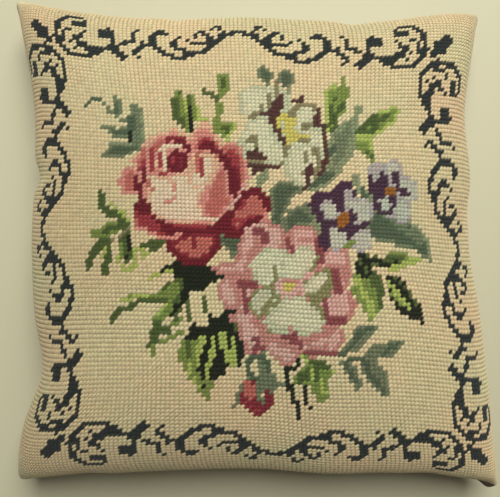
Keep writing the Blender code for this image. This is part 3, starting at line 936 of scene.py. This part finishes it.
def to_linear(colour):
    """A colour from 0 to 255, as light."""
    c = np.array(colour, float) / 255
    return np.where(c <= 0.04045, c / 12.92, ((c + 0.055) / 1.055) ** 2.4)


def dye_lots(strength, scale, seed):
    """Slow changes over the canvas, from a few waves that cross it."""
    waves = np.random.default_rng(seed)
    total = np.zeros(COL.shape)
    for _ in range(WAVES):
        angle = waves.uniform(0, 2 * np.pi)
        turn = waves.uniform(0, 2 * np.pi)
        pace = waves.uniform(SLOWEST, FASTEST) / scale
        total += np.sin((COL * math.cos(angle) + ROW * math.sin(angle)) * pace + turn)
    return strength * (total / math.sqrt(WAVES))


def yarn_colours():
    """The colour of each stitch."""
    table = np.array([to_linear(YARNS[name]) for name in NAMES])
    colour = table[yarn]
    shade = 1 + SHADE_SPREAD * draw.standard_normal(COL.shape) + dye_lots(**SHADE_LOTS)
    colour = colour * np.clip(shade, DARKEST_SHADE, LIGHTEST_SHADE)[..., None]
    tint = TINT_SPREAD * draw.standard_normal(COL.shape) + dye_lots(**TINT_LOTS)
    colour = colour * np.stack([1 + tint, 1 - tint * TINT_ON_GREEN, 1 - tint * TINT_ON_BLUE], -1)
    return np.clip(colour, DARKEST, LIGHTEST)


COLOURS = yarn_colours()


def node(tree, kind, **values):
    """A new node with some of its settings."""
    made = tree.nodes.new(kind)
    for name, value in values.items():
        setattr(made, name, value)
    return made


def new_material(name, roughness, sheen=0.0, specular=0.3):
    """A material whose even values sit on the shader's own sockets."""
    material = bpy.data.materials.new(name)
    material.use_nodes = True
    shader = material.node_tree.nodes["Principled BSDF"]
    even = {"Roughness": roughness, "Specular IOR Level": specular, "Sheen Weight": sheen, "Sheen Roughness": 0.5}
    for socket, value in even.items():
        shader.inputs[socket].default_value = value
    return material, material.node_tree, shader


def math_node(tree, operation, *inputs):
    """One calculation on sockets and plain numbers."""
    made = node(tree, "ShaderNodeMath", operation=operation)
    for n, value in enumerate(inputs):
        if isinstance(value, bpy.types.NodeSocket):
            tree.links.new(value, made.inputs[n])
        else:
            made.inputs[n].default_value = value
    return made.outputs[0]


def split(tree, vector):
    """The three parts of a vector."""
    made = node(tree, "ShaderNodeSeparateXYZ")
    tree.links.new(vector, made.inputs[0])
    return made.outputs


def noise(tree, vector, scale, detail):
    """Cloudy noise over a place."""
    made = node(tree, "ShaderNodeTexNoise")
    made.inputs["Scale"].default_value = scale
    made.inputs["Detail"].default_value = detail
    tree.links.new(vector, made.inputs["Vector"])
    return made.outputs[0]


def paint_yarn(tree, shader, light):
    """The stitch's own yarn colour, made lighter or darker."""
    colour = node(tree, "ShaderNodeAttribute", attribute_name="yarn")
    mix = node(tree, "ShaderNodeVectorMath", operation="SCALE")
    tree.links.new(colour.outputs["Color"], mix.inputs[0])
    tree.links.new(light, mix.inputs["Scale"])
    tree.links.new(mix.outputs[0], shader.inputs["Base Color"])


def raise_by(tree, shader, height, strength, distance):
    """Fine relief from a height."""
    bump = node(tree, "ShaderNodeBump")
    bump.inputs["Strength"].default_value = strength
    bump.inputs["Distance"].default_value = distance
    tree.links.new(height, bump.inputs["Height"])
    tree.links.new(bump.outputs[0], shader.inputs["Normal"])


def wool_material():
    """Tapestry wool: two twisted plies and a soft nap, with painted light and shade along the twist of the plies
    and painted shade towards each end, where a stitch dips into the canvas.
    """
    plies, twist = 2, 3.2 * math.pi
    nap_scale, nap_detail, nap = 2600, 3, 0.5
    ply_light, middle_light = 0.22, 0.87
    end_shade, end_shade_power = -0.82, 3
    material, tree, shader = new_material("tapestry_wool", roughness=0.88, sheen=0.25, specular=0.22)
    lay = split(tree, node(tree, "ShaderNodeUVMap", uv_map="ply").outputs[0])
    turn = math_node(tree, "MULTIPLY", lay[0], plies * 2 * math.pi)
    run = math_node(tree, "MULTIPLY", lay[1], twist)
    ply = math_node(tree, "SINE", math_node(tree, "ADD", turn, run))
    groove = math_node(tree, "MULTIPLY_ADD", ply, 0.5, 0.5)
    place = node(tree, "ShaderNodeTexCoord").outputs["Object"]
    height = math_node(tree, "MULTIPLY_ADD", noise(tree, place, nap_scale, nap_detail), nap, groove)
    # Painted shade: each stitch's colour is darkened towards both ends, where it dips into the canvas
    off_middle = math_node(tree, "ABSOLUTE", math_node(tree, "MULTIPLY_ADD", lay[1], 2, -1))
    tucked = math_node(tree, "MULTIPLY_ADD", math_node(tree, "POWER", off_middle, end_shade_power), end_shade, 1)
    # Painted highlight and shade: the colour is lighter on the crowns of the plies and darker in the grooves
    # between them, with the nap's uneven tone added
    lit = math_node(tree, "MULTIPLY_ADD", height, ply_light, middle_light)
    paint_yarn(tree, shader, math_node(tree, "MULTIPLY", lit, tucked))
    raise_by(tree, shader, height, strength=0.3, distance=0.0002)
    return material


def stitch_tree():
    """Geometry Nodes: one plump slanted stitch on each point, in the yarn that the point carries."""
    tree = bpy.data.node_groups.new("tent_stitches", "GeometryNodeTree")
    face = tree.interface
    face.new_socket("Geometry", in_out="INPUT", socket_type="NodeSocketGeometry")
    for name, value in STITCH_SIZE.items():
        socket = face.new_socket(name, in_out="INPUT", socket_type="NodeSocketFloat")
        socket.default_value = value
    face.new_socket("Wool", in_out="INPUT", socket_type="NodeSocketMaterial")
    face.new_socket("Geometry", in_out="OUTPUT", socket_type="NodeSocketGeometry")
    link = tree.links.new
    given = node(tree, "NodeGroupInput")
    result = node(tree, "NodeGroupOutput")

    def read(name):
        """What each point carries under a name."""
        made = node(tree, "GeometryNodeInputNamedAttribute", data_type="FLOAT_VECTOR")
        made.inputs["Name"].default_value = name
        return made.outputs["Attribute"]

    def store(name, geometry, value):
        """Keeps a UV map under a name."""
        made = node(tree, "GeometryNodeStoreNamedAttribute", data_type="FLOAT2", domain="CORNER")
        made.inputs["Name"].default_value = name
        link(geometry, made.inputs["Geometry"])
        link(value, made.inputs["Value"])
        return made.outputs["Geometry"]

    grain = node(tree, "GeometryNodeMeshUVSphere")
    grain.inputs["Segments"].default_value = STITCH_SEGMENTS
    grain.inputs["Rings"].default_value = STITCH_RINGS
    grain.inputs["Radius"].default_value = 0.5
    lay = store("ply", grain.outputs["Mesh"], grain.outputs["UV Map"])
    flat = node(tree, "GeometryNodeSetShadeSmooth")
    flat.inputs["Shade Smooth"].default_value = False
    link(lay, flat.inputs["Geometry"])
    lying = node(tree, "GeometryNodeTransform")
    lying.inputs["Rotation"].default_value = (0, math.pi / 2, 0)
    link(flat.outputs[0], lying.inputs["Geometry"])
    turn = node(tree, "FunctionNodeAxesToRotation", primary_axis="Z", secondary_axis="X")
    link(read("facing"), turn.inputs[0])
    link(read("slant"), turn.inputs[1])
    pitch = node(tree, "ShaderNodeSeparateXYZ")
    link(read("pitch"), pitch.inputs[0])
    size = node(tree, "ShaderNodeCombineXYZ")
    for n, name in enumerate(STITCH_SIZE):
        times = node(tree, "ShaderNodeMath", operation="MULTIPLY")
        link(given.outputs[name], times.inputs[0])
        link(pitch.outputs[n], times.inputs[1])
        link(times.outputs[0], size.inputs[n])
    laid = node(tree, "GeometryNodeInstanceOnPoints")
    link(given.outputs["Geometry"], laid.inputs["Points"])
    link(lying.outputs[0], laid.inputs["Instance"])
    link(turn.outputs[0], laid.inputs["Rotation"])
    link(size.outputs[0], laid.inputs["Scale"])
    real = node(tree, "GeometryNodeRealizeInstances")
    link(laid.outputs[0], real.inputs["Geometry"])
    scaled = node(tree, "ShaderNodeVectorMath", operation="SCALE")
    link(read("ply"), scaled.inputs[0])
    scaled.inputs["Scale"].default_value = CELL_FILLED / CHARTED
    cell = node(tree, "ShaderNodeVectorMath", operation="ADD")
    link(scaled.outputs[0], cell.inputs[0])
    link(read("cell"), cell.inputs[1])
    out = store("OFBake", real.outputs[0], cell.outputs[0])
    for name in ("facing", "slant", "pitch", "cell"):
        drop = node(tree, "GeometryNodeRemoveAttribute")
        drop.inputs["Name"].default_value = name
        link(out, drop.inputs["Geometry"])
        out = drop.outputs[0]
    paint = node(tree, "GeometryNodeSetMaterial")
    link(out, paint.inputs["Geometry"])
    link(given.outputs["Wool"], paint.inputs["Material"])
    link(paint.outputs[0], result.inputs[0])
    return tree


def add_object(name, data):
    """An object in the scene, at the origin."""
    made = bpy.data.objects.new(name, data)
    bpy.context.scene.collection.objects.link(made)
    return made


def stitch_frames():
    """Where each stitch lies, the way it faces and slants, and its pitch."""
    def at(col, row):
        """A place on the chart, a little below the front."""
        u, v = on_front(col, row)
        return front_point(np.clip(u, -1, 1), np.clip(v, -1, 1), YARN_DEPTH, YARN_DEPTH)

    wobble = draw.uniform(-WOBBLE, WOBBLE, (2, *COL.shape))
    place = at(COL + wobble[0], ROW + wobble[1])
    side = at(COL + 0.5, ROW) - at(COL - 0.5, ROW)
    rise = at(COL, ROW - 0.5) - at(COL, ROW + 0.5)
    facing = unit(np.cross(side, rise))
    slope = SLOPE + SLOPE_SPREAD * draw.standard_normal(COL.shape)
    slant = side + rise * slope[..., None]
    length = np.linalg.norm(slant, axis=-1)
    area = np.linalg.norm(np.cross(side, rise), axis=-1)
    pitch = np.stack([length, area / np.maximum(length, NO_RISE), np.ones(COL.shape)], -1)
    pitch *= 1 + SIZE_SPREAD * draw.standard_normal((*COL.shape, 3))
    return place, facing, unit(slant), pitch


FRAMES = stitch_frames()
WOOL = wool_material()
TREE = stitch_tree()


def stitched(name, chosen):
    """A piece made of the chosen stitches."""
    count = int(chosen.sum())
    mesh = bpy.data.meshes.new(name)
    mesh.vertices.add(count)
    place, facing, slant, pitch = (values[chosen] for values in FRAMES)
    mesh.vertices.foreach_set("co", place.ravel())
    half = CELL_FILLED / 2
    cell = np.stack([COL + SPARE - half, CHARTED - ROW - SPARE - half, np.zeros(COL.shape)], -1)[chosen] / CHARTED
    for key, values in (("facing", facing), ("slant", slant), ("pitch", pitch), ("cell", cell)):
        mesh.attributes.new(key, "FLOAT_VECTOR", "POINT").data.foreach_set("vector", values.ravel())
    colour = np.concatenate([COLOURS[chosen], np.ones((count, 1))], 1)
    mesh.attributes.new("yarn", "FLOAT_COLOR", "POINT").data.foreach_set("color", colour.ravel())
    points = add_object(name + "_points", mesh)
    modifier = points.modifiers.new("stitches", "NODES")
    modifier.node_group = TREE
    sockets = {s.name: s.identifier for s in TREE.interface.items_tree if s.in_out == "INPUT"}
    modifier[sockets["Wool"]] = WOOL
    for size, value in STITCH_SIZE.items():
        modifier[sockets[size]] = value
    ready = points.evaluated_get(bpy.context.evaluated_depsgraph_get())
    finished = bpy.data.meshes.new_from_object(ready)
    finished.name = name
    bpy.data.objects.remove(points)
    piece = add_object(name, finished)
    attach(piece, "root")
    return piece


def grid_mesh(name, layers):
    """A closed mesh of an upper and a lower square grid of points, joined at their rims."""
    verts, faces, rims = [], [], []
    for points, up in layers:
        rows, cols = points.shape[:2]
        first = len(verts)
        index = np.arange(rows * cols).reshape(rows, cols) + first
        verts += [tuple(p) for p in points.reshape(-1, 3)]
        quads = np.stack([index[:-1, :-1], index[:-1, 1:], index[1:, 1:], index[1:, :-1]], -1).reshape(-1, 4)
        faces += [tuple(q) if up else tuple(q[::-1]) for q in quads.tolist()]
        rims.append([*index[0, :-1], *index[:-1, -1], *index[-1, :0:-1], *index[:0:-1, 0]])
    upper, lower = ([int(i) for i in rim] for rim in rims)
    for i in range(len(upper)):
        faces.append((lower[i - 1], lower[i], upper[i], upper[i - 1]))
    mesh = bpy.data.meshes.new(name)
    mesh.from_pydata(verts, [], faces)
    mesh.shade_smooth()
    return mesh


def uv_from(mesh, name, places):
    """A UV map that follows the cloth's own threads."""
    layer = mesh.uv_layers.new(name=name)
    corner = np.empty(len(mesh.loops), int)
    mesh.loops.foreach_get("vertex_index", corner)
    layer.data.foreach_set("uv", places[corner].ravel())


def canvas_material():
    """Bare canvas between the stitches: threads over and under, tinted by the nearest yarn and painted darker than
    it, as painted shade in the gaps between the stitches.
    """
    thread_light, gap_light = 0.10, 0.62
    material, tree, shader = new_material("canvas_threads", roughness=0.95)
    lay = split(tree, node(tree, "ShaderNodeUVMap", uv_map="threads").outputs[0])
    turns = [math_node(tree, "MULTIPLY", lay[n], 2 * math.pi * STITCHES) for n in (0, 1)]
    weave = math_node(tree, "MAXIMUM", *(math_node(tree, "SINE", turn) for turn in turns))
    # Painted shade: the canvas takes the nearest yarn's colour at a fraction of its brightness, darkest in the
    # holes between the threads
    paint_yarn(tree, shader, math_node(tree, "MULTIPLY_ADD", weave, thread_light, gap_light))
    raise_by(tree, shader, weave, strength=0.6, distance=0.0003)
    return material


def make_canvas():
    """The canvas that carries the stitches, a thin sheet stretched over the filling."""
    places = np.linspace(-1, 1, CANVAS_POINTS)
    u, v = np.meshgrid(places, places)
    under = CANVAS_DEPTH + CANVAS_THICKNESS
    outer = front_point(u, v, CANVAS_DEPTH, CANVAS_DEPTH)
    inner = front_point(u, v, under, under)
    mesh = grid_mesh("canvas", ((outer, True), (inner, False)))
    spread = np.stack([(u + 1) / 2, (v + 1) / 2], -1).reshape(-1, 2)
    uv_from(mesh, "threads", np.concatenate([spread, spread]))
    tree = KDTree(int(ON_CLOTH.sum()))
    for n, place in enumerate(zip(AT_U[ON_CLOTH].tolist(), AT_V[ON_CLOTH].tolist())):
        tree.insert((*place, 0), n)
    tree.balance()
    nearest = [tree.find((x, y, 0))[1] for x, y in zip(u.ravel().tolist(), v.ravel().tolist())]
    colour = np.concatenate([COLOURS[ON_CLOTH][nearest], np.ones((len(nearest), 1))], 1)
    both = np.concatenate([colour, colour])
    mesh.attributes.new("yarn", "FLOAT_COLOR", "POINT").data.foreach_set("color", both.ravel())
    mesh.materials.append(canvas_material())
    piece = add_object("canvas", mesh)
    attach(piece, "root")
    return piece


def cloth_material():
    """Plain brown backing cloth: fine threads, uneven dye and a dull sheen."""
    thread_pitch, thread_light = 0.0008, 0.12
    cloud_scale, cloud_detail = 24, 5
    shades = ((0.25, (80, 58, 38)), (0.8, (152, 118, 82)))
    material, tree, shader = new_material("brown_backing", roughness=0.82, sheen=0.3, specular=0.25)
    place = node(tree, "ShaderNodeTexCoord").outputs["Object"]
    parts = split(tree, place)
    turns = [math_node(tree, "MULTIPLY", parts[n], 2 * math.pi / thread_pitch) for n in (0, 1)]
    weave = math_node(tree, "MULTIPLY", *(math_node(tree, "SINE", turn) for turn in turns))
    level = math_node(tree, "MULTIPLY_ADD", weave, thread_light, noise(tree, place, cloud_scale, cloud_detail))
    ramp = node(tree, "ShaderNodeValToRGB")
    for element, (position, colour) in zip(ramp.color_ramp.elements, shades):
        element.position = position
        element.color = (*to_linear(colour), 1)
    tree.links.new(level, ramp.inputs[0])
    tree.links.new(ramp.outputs[0], shader.inputs["Base Color"])
    raise_by(tree, shader, weave, strength=0.5, distance=0.0003)
    return material


def make_back():
    """The backing cloth with its filling, puckered where it meets the seam."""
    places = np.linspace(-1, 1, BACK_POINTS)
    u, v = np.meshgrid(places, places)
    crown = front_point(u, v, PANEL_THICKNESS + 2 * GAP, PANEL_THICKNESS + GAP, GAP)
    base = back_point(u, v)
    toward = np.maximum(np.abs(u), np.abs(v))
    around = np.arctan2(v, u)
    near = np.clip((toward - PUCKERS_FROM) / PUCKERS_OVER, 0, 1) * np.clip((1 - toward) / PUCKERS_FADE, 0, 1)
    waves = sum(
        share * np.sin(around * count + swing * np.sin(around * slow)) for share, count, swing, slow in PUCKER_WAVES
    )
    lift = PUCKER_HEIGHT * near * (waves + PUCKER_LEVEL)
    reach = np.clip((-v - FOLD_FROM) / FOLD_OVER, 0, 1)
    shows = FOLD_DEPTH * np.exp(-(((u - FOLD_PLACE) / FOLD_WIDTH) ** 2)) * reach
    crown[..., 1] -= shows
    base[..., 1] -= shows
    base[..., 0] -= lift * u / 2
    base[..., 1] -= lift * v / 2
    base[..., 2] += lift
    mesh = grid_mesh("back_with_filling", ((crown, True), (base, False)))
    mesh.materials.append(cloth_material())
    piece = add_object("back_with_filling", mesh)
    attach(piece, "root")
    return piece


GROUND = ON_CLOTH & (motif == MOTIFS.index("ground"))
thirds = np.quantile(ROW[GROUND], (1 / 3, 2 / 3))
pieces = [
    stitched("ground_stitches_top", GROUND & (ROW <= thirds[0])),
    stitched("ground_stitches_middle", GROUND & (ROW > thirds[0]) & (ROW <= thirds[1])),
    stitched("ground_stitches_bottom", GROUND & (ROW > thirds[1])),
]
for part in MOTIFS[1:]:
    pieces.append(stitched(part + "_stitches", ON_CLOTH & (motif == MOTIFS.index(part))))

canvas = make_canvas()
back = make_back()
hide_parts("needlepoint_panel")
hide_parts("filled_back")


def make_floor():
    """A plain pale floor, a hair below the cushion."""
    far, below, pale = 3, 0.0002, (221, 217, 184)
    mesh = bpy.data.meshes.new("floor")
    mesh.from_pydata([(-far, -far, 0), (far, -far, 0), (far, far, 0), (-far, far, 0)], [], [(0, 1, 2, 3)])
    material, _, shader = new_material("pale_floor", roughness=0.6)
    shader.inputs["Base Color"].default_value = (*to_linear(pale), 1)
    mesh.materials.append(material)
    floor = add_object("floor", mesh)
    floor.location.z = -below


def area_light(name, place, aim, size, power, colour):
    """A square light that faces the place it is aimed at."""
    light = bpy.data.lights.new(name, "AREA")
    light.size = size
    light.energy = power
    light.color = colour
    lamp = add_object(name, light)
    lamp.location = place
    toward = np.array(aim, float) - np.array(place, float)
    flat = math.hypot(toward[0], toward[1])
    lamp.rotation_euler = (math.atan2(flat, -toward[2]), 0, math.atan2(-toward[0], toward[1]))


def soft_room(colour, strength):
    """Even light from all round."""
    world = bpy.data.worlds.new("soft_room")
    world.use_nodes = True
    background = world.node_tree.nodes["Background"]
    background.inputs["Color"].default_value = (*colour, 1)
    background.inputs["Strength"].default_value = strength
    bpy.context.scene.world = world


def camera_at_the_photo():
    """The camera, placed and turned as for the photo."""
    lens = bpy.data.cameras.new("camera")
    lens.sensor_width = SENSOR
    lens.lens = SENSOR * REACH_IN_PICTURE / PICTURE_WIDTH
    lens.clip_start = 0.01
    camera = add_object("camera", lens)
    camera.location = EYE
    camera.rotation_euler = (TILT, 0, 0)
    bpy.context.scene.camera = camera


make_floor()
area_light("window", place=(0.14, 0.76, 1.16), aim=(0, 0.05, 0), size=0.9, power=19.3, colour=(1.0, 0.985, 0.95))
soft_room(colour=(1.0, 0.97, 0.92), strength=0.08)
camera_at_the_photo()
bpy.context.scene.view_settings.view_transform = "Standard"
